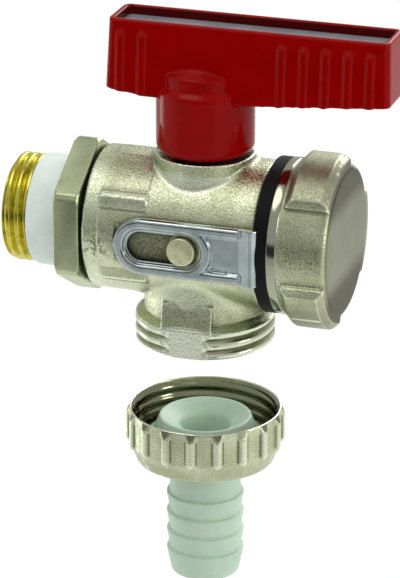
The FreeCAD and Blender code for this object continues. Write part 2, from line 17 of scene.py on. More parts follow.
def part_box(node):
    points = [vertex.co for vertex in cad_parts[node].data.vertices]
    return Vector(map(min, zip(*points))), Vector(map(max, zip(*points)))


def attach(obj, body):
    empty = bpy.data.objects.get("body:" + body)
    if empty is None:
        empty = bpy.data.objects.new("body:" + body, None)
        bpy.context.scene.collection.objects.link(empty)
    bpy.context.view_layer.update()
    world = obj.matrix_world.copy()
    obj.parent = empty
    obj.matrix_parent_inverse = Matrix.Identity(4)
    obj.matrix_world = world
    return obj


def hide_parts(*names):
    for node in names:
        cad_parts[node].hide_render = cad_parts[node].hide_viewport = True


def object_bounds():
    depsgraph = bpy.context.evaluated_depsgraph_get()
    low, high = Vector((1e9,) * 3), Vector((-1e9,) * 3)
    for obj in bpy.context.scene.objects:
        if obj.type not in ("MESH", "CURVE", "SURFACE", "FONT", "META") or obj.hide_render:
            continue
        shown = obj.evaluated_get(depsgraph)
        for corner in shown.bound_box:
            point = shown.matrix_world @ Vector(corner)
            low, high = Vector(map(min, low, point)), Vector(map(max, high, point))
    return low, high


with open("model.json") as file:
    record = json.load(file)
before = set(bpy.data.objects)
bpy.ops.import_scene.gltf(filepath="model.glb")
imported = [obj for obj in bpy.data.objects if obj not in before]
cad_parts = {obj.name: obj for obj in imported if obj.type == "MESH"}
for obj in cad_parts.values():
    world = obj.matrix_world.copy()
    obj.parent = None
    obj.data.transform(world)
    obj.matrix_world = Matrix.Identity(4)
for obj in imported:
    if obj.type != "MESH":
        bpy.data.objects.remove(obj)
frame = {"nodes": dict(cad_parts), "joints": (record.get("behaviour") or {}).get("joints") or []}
cad_low, cad_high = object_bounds()
print("frame", len(frame["nodes"]), "nodes,", [round(v, 4) for v in cad_high - cad_low])

# %% [markdown]
# A valve is drawn from the middle of its ball, where the flow axis X meets the stem axis Z, so all
# lengths below are millimetres from that point. The lever's joint says where the point lies in the frame.
# Pieces could be drawn in metres and then moved, but a moved object carries its pattern to the wrong
# place. One matrix brings each finished mesh into the frame instead, and no object is ever moved.

# %% Millimetres from the ball's centre
MM = 0.001
X_AXIS = Vector((1, 0, 0))
Y_AXIS = Vector((0, 1, 0))
Z_AXIS = Vector((0, 0, 1))
joints = {joint["name"]: joint for joint in frame["joints"]}
ball_centre = Vector(joints["handle_turn"]["pos_m"])
TO_FRAME = Matrix.Translation(ball_centre) @ Matrix.Scale(MM, 4)
FROM_FRAME = TO_FRAME.inverted()


def node_box(node):
    """A node's lowest and highest corner, in millimetres from the ball's centre."""
    low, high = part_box(node)
    return FROM_FRAME @ low, FROM_FRAME @ high


print("ball's centre", [round(v, 4) for v in ball_centre])

# %% [markdown]
# Shader maths reads best as plain sums, and nodes wired one by one hide the sum that they make. So one
# small class wraps a socket, and its operators add the Math nodes, also where a number comes first. A
# second class holds a tree of nodes and makes any other node from its type, its settings and its inputs.

# %% Sockets as sums
class Value:
    """What a socket gives: a number, a place, a colour or a shader."""

    def __init__(self, nodes, socket):
        self.nodes = nodes
        self.socket = socket

    def math(self, operation, first, second):
        return self.nodes.node("ShaderNodeMath", {"operation": operation}, {0: first, 1: second})

    def __add__(self, other):
        return self.math("ADD", self, other)

    def __radd__(self, other):
        return self.math("ADD", other, self)

    def __sub__(self, other):
        return self.math("SUBTRACT", self, other)

    def __rsub__(self, other):
        return self.math("SUBTRACT", other, self)

    def __mul__(self, other):
        return self.math("MULTIPLY", self, other)

    def __rmul__(self, other):
        return self.math("MULTIPLY", other, self)


class Nodes:
    """A node tree, and the one method that adds a node to it."""

    def __init__(self, tree):
        self.tree = tree

    def node(self, kind, settings, inputs, output=0):
        """A node of a kind; its settings come first, because they decide which sockets it uses."""
        made = self.tree.nodes.new(kind)
        for key, value in settings.items():
            setattr(made, key, value)
        for key, value in inputs.items():
            self.put(made.inputs[key], value)
        return Value(self, made.outputs[output])

    def put(self, socket, value):
        """Links a value to a socket, or sets a plain number or colour on it."""
        if isinstance(value, Value):
            self.tree.links.new(value.socket, socket)
        elif socket.type == "RGBA":
            socket.default_value = (*value, 1.0)
        else:
            socket.default_value = value


print("socket class", Value.__name__, "and tree class", Nodes.__name__)

# %% [markdown]
# Every finish here starts from the same few things: the place on the surface, noise of a real size, a
# soft step between two values, two colours that drift into one another, and a fine bump. Written out in
# each material they would hide what makes it special, so one class offers them. It measures in
# millimetres from the ball's centre, read from Object coordinates, so a grain keeps its size and a mask
# stays on the form that it belongs to.

# %% One finish
MIX_COLOUR_A, MIX_COLOUR_B, MIX_COLOUR_RESULT = 6, 7, 2    # a Mix node's colour sockets


class Finish(Nodes):
    """One material: its shader, and the place on the surface in millimetres."""

    def __init__(self, name):
        self.material = bpy.data.materials.new(name)
        self.material.use_nodes = True
        super().__init__(self.material.node_tree)
        self.shader = self.tree.nodes["Principled BSDF"]
        place = self.node("ShaderNodeTexCoord", {}, {}, "Object")
        self.place = self.node("ShaderNodeMapping", {"vector_type": "TEXTURE"},
                               {"Vector": place, "Location": ball_centre, "Scale": (MM, MM, MM)})
        self.x, self.y, self.z = self.parts(self.place)

    def set(self, **inputs):
        """Gives the shader its inputs; an underline stands for the space in a socket's name."""
        for key, value in inputs.items():
            self.put(self.shader.inputs[key.replace("_", " ")], value)

    def parts(self, vector):
        """The three numbers of a place or a direction."""
        split = self.node("ShaderNodeSeparateXYZ", {}, {0: vector})
        return [Value(self, output) for output in split.socket.node.outputs]

    def stretched(self, scale):
        """The place with each axis scaled by itself, for grain that runs one way."""
        return self.node("ShaderNodeMapping", {}, {"Vector": self.place, "Scale": scale})

    def distance(self, point):
        """How far the surface is from a point."""
        return self.node("ShaderNodeVectorMath", {"operation": "DISTANCE"}, {0: self.place, 1: point}, "Value")

    def off_stem(self):
        """How far the surface is from the stem's axis."""
        return self.node("ShaderNodeMath", {"operation": "SQRT"}, {0: self.x * self.x + self.y * self.y})

    def noise(self, scale, detail, roughness, place=None):
        return self.node("ShaderNodeTexNoise", {}, {"Vector": place or self.place, "Scale": scale,
                                                    "Detail": detail, "Roughness": roughness})

    def ramp(self, value, low, high, to_low=0.0, to_high=1.0):
        """A soft step from one value to another; low may lie above high."""
        return self.node("ShaderNodeMapRange", {"interpolation_type": "SMOOTHSTEP"}, {
            "Value": value, "From Min": low, "From Max": high, "To Min": to_low, "To Max": to_high})

    def band(self, value, low, high, soft):
        """One inside a range of a value and zero outside, with soft ends."""
        return self.ramp(value, low - soft, low + soft) * self.ramp(value, high + soft, high - soft)

    def mix(self, share, first, second):
        return self.node("ShaderNodeMix", {"data_type": "RGBA"},
                         {0: share, MIX_COLOUR_A: first, MIX_COLOUR_B: second}, MIX_COLOUR_RESULT)

    def cloudy(self, first, second, scale, detail=2.0, roughness=0.5, low=0.35, high=0.7):
        """Two colours that drift into one another."""
        return self.mix(self.ramp(self.noise(scale, detail, roughness), low, high), first, second)

    def bump(self, height, depth_mm):
        return self.node("ShaderNodeBump", {}, {"Height": height, "Distance": depth_mm * MM, "Strength": 1.0})


print("finish class", Finish.__name__)

# %% [markdown]
# Forged brass is tumbled and nickel plated. Its skin keeps a fine sandy grain that sparkles, its edges get
# painted highlights, and its corners get painted shade. A picture of such a skin could be
# wrapped round the pieces, but it would stretch and repeat, so noise does it: grain about a quarter of a
# millimetre wide drives colour, roughness and bump together. How sharply the surface bends places painted
# highlights on edges and painted shade in corners, and how much its neighbours shut it in paints shade into
# sheltered places. Three shares, which each piece brings along, say where a lathe has cut, where the skin is
# dull and where shade is painted, and where painted highlights lie.

# %% Plated skin
NICKEL = (0.64, 0.685, 0.44)
NICKEL_PALE = (0.81, 0.86, 0.60)
NICKEL_DARK = (0.10, 0.10, 0.055)
# the colour of the painted highlights
NICKEL_HIGHLIGHT = (0.91, 0.955, 0.77)
# how far the ambient occlusion reaches that paints shade into sheltered places
SHELTER_REACH = 2.4


def cast_nickel(name, turned_share, dull_and_shade_share, highlight_share, grain_scale, grain_depth, pit_share):
    """A plated forging; the shares say where its skin is turned smooth, where it is dull with painted shade,
    and where painted highlights lie.
    """
    finish = Finish(name)
    turned = turned_share(finish)
    dull_and_shade = dull_and_shade_share(finish)
    highlight = highlight_share(finish)
    cast = 1 - turned
    grain = finish.noise(grain_scale, 2.0, 0.6)
    fleck = finish.noise(grain_scale * 0.5, 1.0, 0.5)
    pits = finish.ramp(grain, 0.38, 0.5, 1.0, 0.0) * cast * (1 - highlight)
    # painted shade where neighbours shut the skin in
    open_sky = finish.node("ShaderNodeAmbientOcclusion", {"samples": 8},
                           {"Distance": SHELTER_REACH * MM}, "AO")
    sheltered = finish.ramp(1 - open_sky, 0.06, 0.5)
    bend = finish.node("ShaderNodeNewGeometry", {}, {}, "Pointiness")
    # painted shade in concave corners and painted highlights on convex edges, from how sharply the mesh bends
    corner = finish.ramp(bend, 0.485, 0.43)
    edge = finish.ramp(bend, 0.508, 0.545)
    tone = finish.cloudy(NICKEL, NICKEL_PALE, 0.16)
    # pits darken the tone, and so do the dull share and the painted shade
    for dark_share in (pits * pit_share, dull_and_shade, sheltered * 0.95, corner * 0.45):
        tone = finish.mix(dark_share, tone, NICKEL_DARK)
    # painted highlights on the edges and wherever the highlight share lies
    tone = finish.mix(edge * 0.9 + highlight, tone, NICKEL_HIGHLIGHT)
    finish.set(Base_Color=tone, Metallic=1.0,
               Roughness=finish.ramp(fleck, 0.3, 0.7, 0.2, 0.34) * cast + turned * 0.16 + dull_and_shade * 0.25,
               Normal=finish.bump((grain + fleck * 0.6) * cast, grain_depth))
    return finish.material


print("nickel from", NICKEL, "to", NICKEL_PALE)

# %% [markdown]
# On the body the outlet's thread is cut by a tool and shows a turned skin. The wrench ridges carry painted
# highlights on their edges with a painted shadow line beside them, the floor of the strap's slot gets patchy
# painted shade, and a speckled stain lies beside the hexagon. Painted shade also darkens the wrench flats, the
# low ridge's top and the outlet's sides, and painted light brightens the boss's foot, the outlet's flat, the
# collar and the front. Such marks could be painted on by hand, but a painted map knows nothing of sizes.
# Here each mark is a band of heights on the part of the front that stands far enough forward, so it lies
# on its ridge or its flat and can be moved by one number.

# %% Body finish
OUTLET_CUT = -17.3              # height where the outlet's thread begins
OUTLET_FLAT = 12.45             # the outlet's forged flats, from the stem's axis
WRENCH_ENDS = (-17.0, -7.8)     # ridges and flats along the barrel
FLAT_TILT = math.radians(30)    # the sloping wrench flats against the barrel's top
FLAT_DEPTH = (13.27, 13.32)
# the ridge bands below place painted shade, painted highlights and painted shadow lines
LOW_RIDGE_FACE = (-9.6, -5.4)
LOW_RIDGE_EDGE = (-8.25, -7.65)
LOW_RIDGE_LINE = (-8.75, -8.35)
HIGH_RIDGE_FACE = (6.4, 7.0)
HIGH_RIDGE_FOOT = (5.95, 6.3)
HIGH_RIDGE_EDGE = (8.55, 9.0)
HIGH_RIDGE_LINE = (9.1, 9.5)
SLOT_HEIGHTS = (-3.2, 3.2)
SLOT_ENDS = (-11.3, 3.6)
BOSS_FOOT = (9.3, 10.2)         # the round at the foot of the stem's boss, from the stem's axis
OUTLET_SIDE = (6.5, 7.75)       # where the outlet turns away from the front, along X
STAIN_CENTRE = (-18.0, -12.8, -1.0)


def front_band(finish, heights, soft, depths):
    """A band of heights on the skin that stands forward of a range of depths."""
    return finish.band(finish.z, *heights, soft) * finish.ramp(finish.y * -1.0, *depths)


def body_turned(finish):
    """The outlet's thread, but not its forged flat."""
    flat = finish.ramp(finish.y * -1.0, OUTLET_FLAT - 0.07, OUTLET_FLAT - 0.02)
    return finish.ramp(finish.z, OUTLET_CUT + 0.7, OUTLET_CUT + 0.1) * (1 - flat)


def body_stain(finish):
    """Specks in a round patch beside the hexagon."""
    specks = finish.ramp(finish.noise(0.9, 3.0, 0.7), 0.48, 0.56)
    return specks * finish.ramp(finish.distance(STAIN_CENTRE), 5.0, 1.5) * 0.85


def body_stain_and_shade(finish):
    """Painted shade in the strap's slot, on the wrench flats with painted shadow lines and on the outlet's
    sides; and the stain.
    """
    front = finish.y * -1.0
    # painted shade in the slot under the strap, patchy and darker towards the bottom
    slot_shade = finish.ramp(finish.noise(1.8, 3.0, 0.6), 0.3, 0.7, 0.45, 0.85)
    slot_shade = slot_shade + finish.ramp(finish.z, 1.0, -2.6) * 0.2
    slot = front_band(finish, SLOT_HEIGHTS, 0.2, (13.2, 13.4)) * finish.band(finish.x, *SLOT_ENDS, 0.2)
    # painted shade on the sloping wrench flat and the low ridge's top face, and painted shadow lines beside
    # the ridges
    above_flat = finish.ramp(finish.z * math.cos(FLAT_TILT) + front * math.sin(FLAT_TILT), *FLAT_DEPTH)
    flat = above_flat * finish.ramp(finish.z, 8.6, 9.0) * finish.ramp(front, 0.0, 0.5)
    low_face = front_band(finish, LOW_RIDGE_FACE, 0.15, (11.6, 11.8))
    lines = (front_band(finish, HIGH_RIDGE_FOOT, 0.12, (12.0, 12.2))
             + front_band(finish, HIGH_RIDGE_LINE, 0.1, (10.5, 11.0))
             + front_band(finish, LOW_RIDGE_LINE, 0.1, (10.5, 11.0)))
    wrench = finish.band(finish.x, *WRENCH_ENDS, 0.05) * (flat * 0.15 + low_face * 0.28 + lines * 0.6)
    # painted shade on the outlet where it turns away from the front
    near, far = OUTLET_SIDE
    sides = finish.ramp(finish.x * finish.x, near ** 2, far ** 2) * finish.ramp(finish.z, -13.0, -15.0)
    return slot * slot_shade + wrench + body_stain(finish) * 0.8 + sides * 0.22


def body_highlights(finish):
    """Painted highlights on the ridge edges and the upper ridge's face, the round at the boss's foot, the
    outlet's flat, the collar and the front.
    """
    front = finish.y * -1.0
    # painted highlights on the ridges' edges and on the upper ridge's face
    edges = (front_band(finish, HIGH_RIDGE_EDGE, 0.1, (11.4, 11.7))
             + front_band(finish, LOW_RIDGE_EDGE, 0.12, (12.0, 12.2))
             + front_band(finish, HIGH_RIDGE_FACE, 0.2, (12.0, 12.2)) * 0.6)
    ridges = finish.band(finish.x, *WRENCH_ENDS, 0.05) * edges
    # painted highlight along the concave round at the boss's foot, and painted light on the outlet's flat, the
    # collar and the front
    boss_foot = finish.band(finish.off_stem(), *BOSS_FOOT, 0.25) * finish.band(finish.z, 6.0, 13.0, 0.3)
    outlet_flat = finish.ramp(front, OUTLET_FLAT - 0.15, OUTLET_FLAT - 0.05)
    outlet_flat = outlet_flat * finish.ramp(finish.z, -12.0, -14.0)
    collar = finish.ramp(finish.x, -15.0, -19.0) * finish.ramp(front, 2.0, 6.0) * (1 - body_stain(finish))
    belly = finish.ramp(finish.x, -7.6, -7.0) * front_band(finish, (-13.0, -6.0), 0.6, (5.0, 9.0))
    return ridges * 0.9 + boss_foot * 0.7 + outlet_flat + collar * 0.35 + belly * 0.25


forged_body = cast_nickel("nickel_body", body_turned, body_stain_and_shade, body_highlights, 4.2, 0.075, 0.46)
print("body finish", forged_body.name, len(forged_body.node_tree.nodes), "nodes")

# %% [markdown]
# The cap is forged and plated like the body, with a face that is turned smooth and looks greyer. The
# drum's top and underside look darker in the photograph, so they get painted shade and are duller too. No
# highlight is painted on beyond what its bend already gives, so its highlight share is nothing at all. The
# same skin serves, with a little more pitting.

# %% Cap finish
CAP_FACE = (27.6, 27.9)         # from here along X the cap is its turned face


def cap_turned(finish):
    """The face that closes the cap."""
    return finish.ramp(finish.x, *CAP_FACE) * 0.85


def cap_dull_and_shade(finish):
    """The face most, which is greyer, then painted shade on the drum's underside and top."""
    # painted shade on the drum's underside and top
    ends = finish.ramp(finish.z, -4.0, -11.0) * 0.4 + finish.ramp(finish.z, 5.0, 11.0) * 0.3
    return finish.ramp(finish.x, *CAP_FACE) * 0.62 + 0.14 + ends


def cap_highlights(finish):
    """Nowhere."""
    return 0.0


forged_cap = cast_nickel("nickel_cap", cap_turned, cap_dull_and_shade, cap_highlights, 4.4, 0.055, 0.55)
print("cap finish", forged_cap.name, len(forged_cap.node_tree.nodes), "nodes")

# %% [markdown]
# The nut's ribs are trimmed at the top by a turned cone, and a painted reflection of the dark body above it
# darkens the cone. Below it the crests of the ribs get painted highlights, and their feet get painted shade.
# Height and distance from the stem's axis would be enough for the ribs but not for the cone, so the cone is
# found by the way its skin faces.

# %% Nut finish
NUT_INSIDE = (14.46, 14.35)
RIB_FOOT = (14.84, 15.12)
RIB_CREST = (15.26, 15.46)
RIB_HEIGHTS = (-43.6, -38.8)


def rib_cone(finish):
    """The cone that trims the ribs, where the skin faces up below the rim."""
    upward = finish.parts(finish.node("ShaderNodeNewGeometry", {}, {}, "Normal"))[2]
    return finish.ramp(upward, 0.3, 0.45) * finish.ramp(finish.z, -39.6, -39.2)


def nut_turned(finish):
    """The inside and the cone on the ribs."""
    inside = finish.ramp(finish.off_stem(), *NUT_INSIDE) * finish.ramp(finish.z, -44.6, -44.2)
    return finish.node("ShaderNodeMath", {"operation": "MAXIMUM"}, {0: inside, 1: rib_cone(finish)})


def nut_dull_and_shade(finish):
    """Painted reflection darkening the cone, painted shade at the ribs' feet, darker towards the bottom of the
    taper.
    """
    # painted reflection: the cone is darkened as if it mirrored the dark body above
    cone = rib_cone(finish) * finish.ramp(finish.z, -37.25, -37.35)
    # painted shade at the feet of the ribs
    foot = finish.band(finish.off_stem(), *RIB_FOOT, 0.06) * finish.band(finish.z, *RIB_HEIGHTS, 0.2)
    return cone * 0.83 + foot * 0.6 + finish.ramp(finish.z, -43.0, -46.0) * 0.2 + 0.08


def nut_highlights(finish):
    """Painted highlights on the crests of the ribs."""
    return finish.ramp(finish.off_stem(), *RIB_CREST) * finish.ramp(finish.z, -38.6, -39.2) * 0.5


forged_nut = cast_nickel("nickel_nut", nut_turned, nut_dull_and_shade, nut_highlights, 4.8, 0.04, 0.38)
print("nut finish", forged_nut.name, len(forged_nut.node_tree.nodes), "nodes")

# %% [markdown]
# Where a lathe, a mill or a roller has worked, the metal shows fine lines along its way instead of a
# grain. A Wave texture would give lines of one width; noise that is stretched along the cut gives lines
# that come and go, as a real cut does. Polished plating, the hexagon's flats, bare brass and the strap's
# steel differ in colour and in line depth, and a darker copy of the polished plating paints shade into
# the nut's thread.

# %% Machined metals
def polished_nickel(name, tone):
    """Turned and polished plating with faint lathe lines."""
    finish = Finish(name)
    lines = finish.noise(1.0, 2.0, 0.5, finish.stretched((9.0, 0.2, 9.0)))
    finish.set(Base_Color=tone, Metallic=1.0, Roughness=finish.ramp(lines, 0.3, 0.7, 0.07, 0.16),
               Normal=finish.bump(lines, 0.006))
    return finish.material


def brushed_nickel(name):
    """Machined flats with fine lines across the hexagon."""
    finish = Finish(name)
    lines = finish.noise(1.0, 3.0, 0.6, finish.stretched((0.5, 6.0, 6.0)))
    finish.set(Base_Color=finish.cloudy((0.47, 0.53, 0.32), (0.55, 0.61, 0.39), 0.25), Metallic=1.0,
               Roughness=finish.ramp(lines, 0.3, 0.7, 0.26, 0.38), Normal=finish.bump(lines, 0.008))
    return finish.material


def turned_brass(name, colour, roughness):
    """Bare brass with tool lines and a darker stain."""
    finish = Finish(name)
    lines = finish.noise(1.0, 2.0, 0.5, finish.stretched((7.0, 0.4, 0.4)))
    stain = tuple(channel * 0.62 for channel in colour)
    finish.set(Base_Color=finish.cloudy(colour, stain, 0.5, 3.0, 0.6, 0.4, 0.75), Metallic=1.0,
               Roughness=finish.ramp(lines, 0.3, 0.7, roughness, roughness + 0.14),
               Normal=finish.bump(lines, 0.01))
    return finish.material


def stamped_steel(name):
    """Rolled strip, bright and a little blue, with fine drawing lines along the strap."""
    finish = Finish(name)
    lines = finish.noise(1.0, 3.0, 0.6, finish.stretched((0.25, 5.0, 5.0)))
    finish.set(Base_Color=finish.cloudy((0.42, 0.49, 0.49), (0.58, 0.65, 0.65), 0.3, low=0.3, high=0.75),
               Metallic=1.0, Roughness=finish.ramp(lines, 0.3, 0.7, 0.11, 0.18),
               Normal=finish.bump(lines, 0.003))
    return finish.material


machined_nickel = brushed_nickel("nickel_machined")
bright_nickel = polished_nickel("nickel_polished", (0.44, 0.46, 0.34))
# a darker copy of the polished plating, painted shade for the thread inside the nut
shaded_nickel = polished_nickel("nickel_shaded", (0.30, 0.31, 0.20))
chromed = polished_nickel("chromed_ball", NICKEL_PALE)
bare_brass = turned_brass("brass_thread", (0.74, 0.66, 0.11), 0.2)
pin_brass = turned_brass("brass_pin", (0.86, 0.88, 0.55), 0.34)
steel_strip = stamped_steel("steel_strip")
print("machined metals", [metal.name for metal in (machined_nickel, bright_nickel, bare_brass, steel_strip)])

# %% [markdown]
# Seal, strip, rubber and hose tail are plain mouldings: one colour with a faint cloud in it and the fine
# eroded skin of the mould. The lever is glossier and a deep red, with painted shade in the trough where the
# grey strip lies. A second material on the trough's faces would need them picked by hand, so a mask round
# the strip's own box does it.

# %% Plastics and rubber
def plain_plastic(name, colour, shade, roughness, grain_mm, grain_depth, gloss=0.5):
    """A moulded plastic with a faint cloud in its colour and a fine eroded skin."""
    finish = Finish(name)
    grain = finish.noise(1.0 / grain_mm, 2.0, 0.5)
    finish.set(Base_Color=finish.cloudy(colour, shade, 0.22, 3.0, 0.55),
               Roughness=finish.ramp(grain, 0.3, 0.7, roughness - 0.06, roughness + 0.06),
               Normal=finish.bump(grain, grain_depth), Specular_IOR_Level=gloss)
    return finish.material


def lever_red(name):
    """Glossy red moulding, with painted shade inside the trough where the strip lies."""
    finish = Finish(name)
    low, high = node_box("handle_plate")
    reach = high.y + 0.25
    # painted shade inside the trough, within the grey strip's box
    trough = finish.ramp(finish.y * finish.y, reach ** 2, (reach - 0.2) ** 2)
    trough = trough * finish.ramp(finish.z, low.z - 0.3, low.z)
    trough = trough * finish.ramp(finish.x, high.x + 0.3, high.x + 0.1)
    trough = trough * finish.ramp(finish.x, low.x - 0.3, low.x - 0.1)
    grain = finish.noise(1.2, 2.0, 0.5)
    red = finish.cloudy((0.30, 0.0006, 0.0005), (0.27, 0.0005, 0.0004), 0.22, 3.0, 0.55)
    finish.set(Base_Color=finish.mix(trough * 0.85, red, (0.03, 0.0005, 0.0005)), Specular_IOR_Level=0.11,
               Roughness=finish.ramp(grain, 0.3, 0.7, 0.07, 0.13), Normal=finish.bump(grain, 0.008))
    return finish.material


red_gloss = lever_red("red_gloss")
white_seal = plain_plastic("white_seal", (0.86, 0.95, 0.89), (0.78, 0.89, 0.83), 0.42, 0.5, 0.02)
grey_strip = plain_plastic("grey_strip", (0.25, 0.25, 0.27), (0.20, 0.20, 0.22), 0.5, 0.2, 0.02)
black_rubber = plain_plastic("black_rubber", (0.004, 0.004, 0.004), (0.007, 0.007, 0.007), 0.5, 0.3, 0.02,
                             gloss=0.12)
pale_plastic = plain_plastic("pale_plastic", (0.57, 0.74, 0.58), (0.53, 0.70, 0.55), 0.46, 0.35, 0.03)
print("finishes in all", len(bpy.data.materials))

# %% [markdown]
# A forging or a moulding has no sharp edge anywhere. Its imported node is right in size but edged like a
# drawing. A bevel on every edge would do for a box, but it fails where fillets, ribs and flats run
# together. So a joined copy of the node is remeshed into even small squares and relaxed: every edge then
# takes the same soft round, as a die or a mould would leave it. The size of the squares and the rounds of
# relaxing set how soft it is.

# %% Soft-edged copies
SHARP = math.radians(38)


def joined_copy(node):
    """A node's mesh in millimetres, with its loose triangles joined."""
    bm = bmesh.new()
    bm.from_mesh(frame["nodes"][node].data)
    bm.transform(FROM_FRAME)
    bmesh.ops.remove_doubles(bm, verts=bm.verts[:], dist=0.001)
    return bm


def cut_off(bm, place, away):
    """Takes away what lies beyond a plane, and gives the edges of the cut."""
    whole = bm.verts[:] + bm.edges[:] + bm.faces[:]
    cut = bmesh.ops.bisect_plane(bm, geom=whole, dist=0.0005, plane_co=place, plane_no=away, clear_outer=True)
    return [item for item in cut["geom_cut"] if isinstance(item, bmesh.types.BMEdge)]


def open_copy(node, place, away):
    """A joined copy cut across its bore: the cut's two rims are bridged, so the bore stays open."""
    bm = joined_copy(node)
    bmesh.ops.bridge_loops(bm, edges=cut_off(bm, place, away))
    return bm


def place_piece(name, bm, body, finish, stands_for=()):
    """Makes a mesh drawn in millimetres a piece of the object that rides on a body."""
    bm.transform(TO_FRAME)
    mesh = bpy.data.meshes.new(name)
    bm.to_mesh(mesh)
    bm.free()
    mesh.shade_smooth()
    mesh.set_sharp_from_angle(angle=SHARP)
    mesh.materials.append(finish)
    piece = bpy.data.objects.new(name, mesh)
    bpy.context.scene.collection.objects.link(piece)
    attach(piece, body)
    if stands_for:
        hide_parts(*stands_for)
    print("piece", name, len(mesh.polygons), "faces")
    return piece


def soften(piece, voxel_mm, relax, keep=1.0):
    """Even small squares, relaxed so that every edge is round; keep is the share of faces that stay."""
    even = piece.modifiers.new("even", "REMESH")
    even.mode = "VOXEL"
    even.voxel_size = voxel_mm * MM
    even.use_smooth_shade = True
    relaxed = piece.modifiers.new("relaxed", "SMOOTH")
    relaxed.factor = 0.5
    relaxed.iterations = relax
    if keep < 1.0:
        fewer = piece.modifiers.new("fewer", "DECIMATE")
        fewer.ratio = keep


print("edges stay sharp above", round(math.degrees(SHARP)), "degrees")

# %% [markdown]
# The body is one forging, so its copy stays one piece, but it ends where the outlet's thread begins:
# remeshed, a thread would melt. It is the largest piece, so part of its small squares is given back where
# it is smooth. The lever is one moulding, ribs, hub and all, and needs no cut.

# %% Body and lever
body_copy = open_copy("valve_body", Z_AXIS * OUTLET_CUT, -Z_AXIS)
soften(place_piece("body_forging", body_copy, "valve", forged_body, ["valve_body"]), 0.22, 1, 0.4)
soften(place_piece("lever_moulding", joined_copy("handle"), "lever", red_gloss, ["handle"]), 0.24, 2)

# %% [markdown]
# The cap's rim is polished and crisp while its drum is a soft forging, so the copy of the cap is cut
# behind the rim and the rim is turned later. The nut's bore gets a thread of its own, and two skins in
# one place would flicker: the copy's bore is widened first, so that the thread has room to lie in front
# of it.

# %% Cap and nut
CAP_CUT = 18.2                  # along X, behind the cap's polished rim
THREAD_BORE = 13.65             # cap and nut screw on the same size of thread
NUT_BORE_WIDE = 14.3

cap_copy = open_copy("cap", X_AXIS * CAP_CUT, -X_AXIS)
soften(place_piece("cap_forging", cap_copy, "hand_cap", forged_cap, ["cap"]), 0.25, 3)
nut_copy = joined_copy("union_nut")
for vert in nut_copy.verts:
    if abs(vert.co.xy.length - THREAD_BORE) < 0.03:
        vert.co.xy *= NUT_BORE_WIDE / THREAD_BORE
soften(place_piece("nut_forging", nut_copy, "nut", forged_nut, ["union_nut"]), 0.2, 2)

# %% [markdown]
# The strap is stamped from thin strip, with a raised bead round its slot. It could be a flat outline with
# a Solidify wall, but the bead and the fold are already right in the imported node. Smaller squares keep
# the thin wall whole, and more relaxing gives the bead the flowing edge that a press leaves.

# %% Strap
soften(place_piece("strap_stamping", joined_copy("strap"), "tether", steel_strip, ["strap"]), 0.14, 4)

# %% [markdown]
# Seal, rim and pin are turned, so each starts as its own half section. Bevelling the finished ring would
# pick its edges by angle; it is simpler to round the section's corners by a vertex bevel while it is
# still one flat face. The face is then dropped and its outline spun a full turn about the axis. A hair of
# air stays between the cap's rim and the black ring beside it, because two faces in one plane would
# flicker as the cap turns.

# %% Turned rings
def section_point(axis, place, radius):
    """A point of a half section at a place along an axis."""
    across = X_AXIS if axis == Z_AXIS else Z_AXIS
    return axis * place + across * radius


def turned(section, axis, steps=120):
    """A ring from (place, radius, rounding) corners, spun about an axis."""
    bm = bmesh.new()
    corners = [bm.verts.new(section_point(axis, place, radius)) for place, radius, rounding in section]
    bm.faces.new(corners)
    for corner, (place, radius, rounding) in zip(corners, section):
        if rounding:
            bmesh.ops.bevel(bm, geom=[corner], offset=rounding, offset_type="OFFSET", segments=4, profile=0.5,
                            affect="VERTICES", material=-1, clamp_overlap=True)
    bmesh.ops.delete(bm, geom=bm.faces[:], context="FACES_ONLY")
    outline = bm.verts[:] + bm.edges[:]
    bmesh.ops.spin(bm, geom=outline, cent=(0, 0, 0), axis=axis, angle=math.tau, steps=steps, use_merge=True)
    bmesh.ops.remove_doubles(bm, verts=bm.verts[:], dist=0.0005)
    bmesh.ops.recalc_face_normals(bm, faces=bm.faces[:])
    return bm


SEAL_BORE = 9.02
seal_low, seal_high = node_box("sealing_ring")
seal_r = seal_high.z
seal_section = [
    (seal_low.x, SEAL_BORE, 0), (seal_low.x, seal_r - 0.3, 0.3), (seal_low.x + 0.9, seal_r, 0.5),
    (seal_high.x - 0.6, seal_r, 0.4), (seal_high.x, seal_r - 0.3, 0.2), (seal_high.x, SEAL_BORE, 0)]
place_piece("white_seal_ring", turned(seal_section, X_AXIS), "valve", white_seal, ["sealing_ring"])

RIM_AIR = 0.02
RIM_R = 15.05
RIM_LEN = 1.94
SLEEVE_R = 14.03
sleeve_left = node_box("cap")[0].x
rim_left = node_box("grommet")[1].x + RIM_AIR
rim_right = rim_left + RIM_LEN
rim_section = [
    (sleeve_left, THREAD_BORE, 0), (sleeve_left, SLEEVE_R, 0), (rim_left, SLEEVE_R, 0),
    (rim_left, RIM_R, 0.3), (rim_right, RIM_R, 0.3), (rim_right, THREAD_BORE, 0)]
place_piece("cap_rim", turned(rim_section, X_AXIS), "hand_cap", bright_nickel)

PIN_R = 2.75
PIN_MARK = 0.3                  # radius and depth of the mark that the lathe leaves in the pin's end
PIN_STEPS = 72
pin_low, pin_high = node_box("strap_pin")
pin_section = [
    (pin_high.y, 0, 0), (pin_high.y, PIN_R, 0), (pin_low.y, PIN_R, 0.3), (pin_low.y, PIN_MARK, 0),
    (pin_low.y + PIN_MARK, 0, 0)]
place_piece("turned_pin", turned(pin_section, Y_AXIS, PIN_STEPS), "valve", pin_brass, ["strap_pin"])

# %% [markdown]
# The hose tail is one moulding: a funnel mouth with a rounded lip, a cone and a flange inside the nut,
# and a shank with saw-tooth barbs that hold a hose. It is round all over, so one section and one spin
# make it whole, and a loop sets the barbs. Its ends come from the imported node's box and the steps between
# them are named values.

